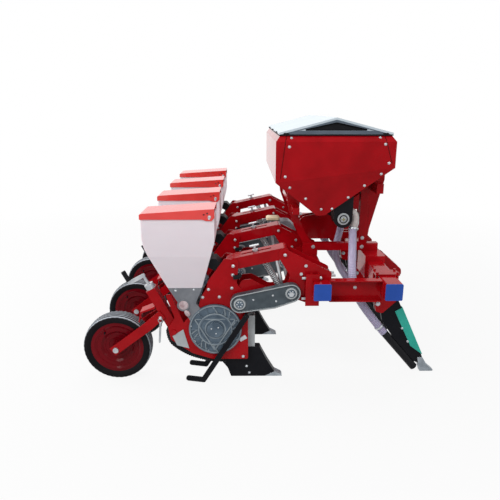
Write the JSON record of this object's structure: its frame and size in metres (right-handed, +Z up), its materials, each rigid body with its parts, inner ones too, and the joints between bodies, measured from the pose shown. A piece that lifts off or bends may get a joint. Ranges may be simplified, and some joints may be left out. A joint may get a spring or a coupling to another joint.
{
  "type": "row crop planter",
  "caption": "Mounted row crop planter: seed units with press wheels behind a double toolbar, fertiliser hopper above, furrow shanks in front.",
  "frame": {"origin": "on the ground under the middle of the machine's box", "axes": "+X forward to the tractor, +Y left, +Z up"},
  "size_m": [2.1844, 2.112, 1.562],
  "materials": {
    "red_paint": "gloss paint",
    "red_lid": "moulded",
    "blue_cap": "moulded",
    "zinc": "zinc plated",
    "black_steel": "satin paint",
    "black_plastic": "moulded",
    "hopper_white": "translucent moulding",
    "grey_casting": "cast",
    "grey_plastic": "moulded",
    "dark_case": "moulded",
    "green_steel": "satin paint",
    "hose": "ribbed hose",
    "lid_sheet": "pale grey paint",
    "tyre": "ribbed"
  },
  "bodies": {
    "frame": {"adjuster_handles": "zinc", "chain_cases": "dark_case", "crank_grips": "black_plastic", "cross_beams": "red_paint", "depth_cranks": "zinc", "drive_gearbox": "grey_casting", "drive_shaft": "zinc", "feed_shaft": "zinc", "fert_hopper": "red_paint", "fert_hoses": "hose", "fert_meters": "black_plastic", "hitch_mast": "red_paint", "hopper_clips": "black_plastic", "link_pins": "zinc", "link_springs": "grey_casting", "lower_hitch": "red_paint", "lower_links": "red_paint", "meter_covers": "grey_casting", "opener_shoes": "black_steel", "scrapers": "red_paint", "seed_hoppers": "hopper_white", "seed_meters": "grey_casting", "seed_necks": "grey_plastic", "seed_tubes": "grey_plastic", "shank_boots": "black_plastic", "shank_brackets": "red_paint", "shank_points": "zinc", "shanks": "black_steel", "shin_plates": "green_steel", "shoe_points": "zinc", "side_plates": "red_paint", "side_shields": "grey_plastic", "stand_bases": "red_paint", "stand_legs": "red_paint", "stand_rails": "red_paint", "toolbar_caps": "blue_cap", "toolbar_tubes": "red_paint", "unit_brackets": "red_paint", "unit_clamps": "zinc", "upper_links": "red_paint", "wheel_arms": "red_paint", "wheel_axles": "zinc"},
    "wheel_1": {"tyre_1": "tyre", "rim_1": "red_paint"},
    "lid_1": {"seed_lid_1": "red_lid"},
    "covering_1": {"cover_arms_1": "black_steel"},
    "wheel_2": {"tyre_2": "tyre", "rim_2": "red_paint"},
    "lid_2": {"seed_lid_2": "red_lid"},
    "covering_2": {"cover_arms_2": "black_steel"},
    "wheel_3": {"tyre_3": "tyre", "rim_3": "red_paint"},
    "lid_3": {"seed_lid_3": "red_lid"},
    "covering_3": {"cover_arms_3": "black_steel"},
    "wheel_4": {"tyre_4": "tyre", "rim_4": "red_paint"},
    "lid_4": {"seed_lid_4": "red_lid"},
    "covering_4": {"cover_arms_4": "black_steel"},
    "hopper_lid": {"fert_lid": "lid_sheet"}
  },
  "joints": [
    {"name": "wheel_1_spin", "type": "hinge", "parent": "frame", "child": "wheel_1", "pos_m": [-0.88475, -0.9, 0.2075], "axis": [0, 1, 0], "continuous": true},
    {"name": "lid_1_open", "type": "hinge", "parent": "frame", "child": "lid_1", "pos_m": [-0.30175, -0.9, 1.024], "axis": [0, 1, 0], "range_deg": [0, 100]},
    {"name": "covering_1_lift", "type": "hinge", "parent": "frame", "child": "covering_1", "pos_m": [-0.09575, -0.9, 0.432], "axis": [0, 1, 0], "range_deg": [0, 20]},
    {"name": "wheel_2_spin", "type": "hinge", "parent": "frame", "child": "wheel_2", "pos_m": [-0.88475, -0.3, 0.2075], "axis": [0, 1, 0], "continuous": true},
    {"name": "lid_2_open", "type": "hinge", "parent": "frame", "child": "lid_2", "pos_m": [-0.30175, -0.3, 1.024], "axis": [0, 1, 0], "range_deg": [0, 100]},
    {"name": "covering_2_lift", "type": "hinge", "parent": "frame", "child": "covering_2", "pos_m": [-0.09575, -0.3, 0.432], "axis": [0, 1, 0], "range_deg": [0, 20]},
    {"name": "wheel_3_spin", "type": "hinge", "parent": "frame", "child": "wheel_3", "pos_m": [-0.88475, 0.3, 0.2075], "axis": [0, 1, 0], "continuous": true},
    {"name": "lid_3_open", "type": "hinge", "parent": "frame", "child": "lid_3", "pos_m": [-0.30175, 0.3, 1.024], "axis": [0, 1, 0], "range_deg": [0, 100]},
    {"name": "covering_3_lift", "type": "hinge", "parent": "frame", "child": "covering_3", "pos_m": [-0.09575, 0.3, 0.432], "axis": [0, 1, 0], "range_deg": [0, 20]},
    {"name": "wheel_4_spin", "type": "hinge", "parent": "frame", "child": "wheel_4", "pos_m": [-0.88475, 0.9, 0.2075], "axis": [0, 1, 0], "continuous": true},
    {"name": "lid_4_open", "type": "hinge", "parent": "frame", "child": "lid_4", "pos_m": [-0.30175, 0.9, 1.024], "axis": [0, 1, 0], "range_deg": [0, 100]},
    {"name": "covering_4_lift", "type": "hinge", "parent": "frame", "child": "covering_4", "pos_m": [-0.09575, 0.9, 0.432], "axis": [0, 1, 0], "range_deg": [0, 20]},
    {"name": "hopper_lid_open", "type": "hinge", "parent": "frame", "child": "hopper_lid", "pos_m": [0.80225, 0, 1.464], "axis": [0, 1, 0], "range_deg": [0, 95]}
  ]
}
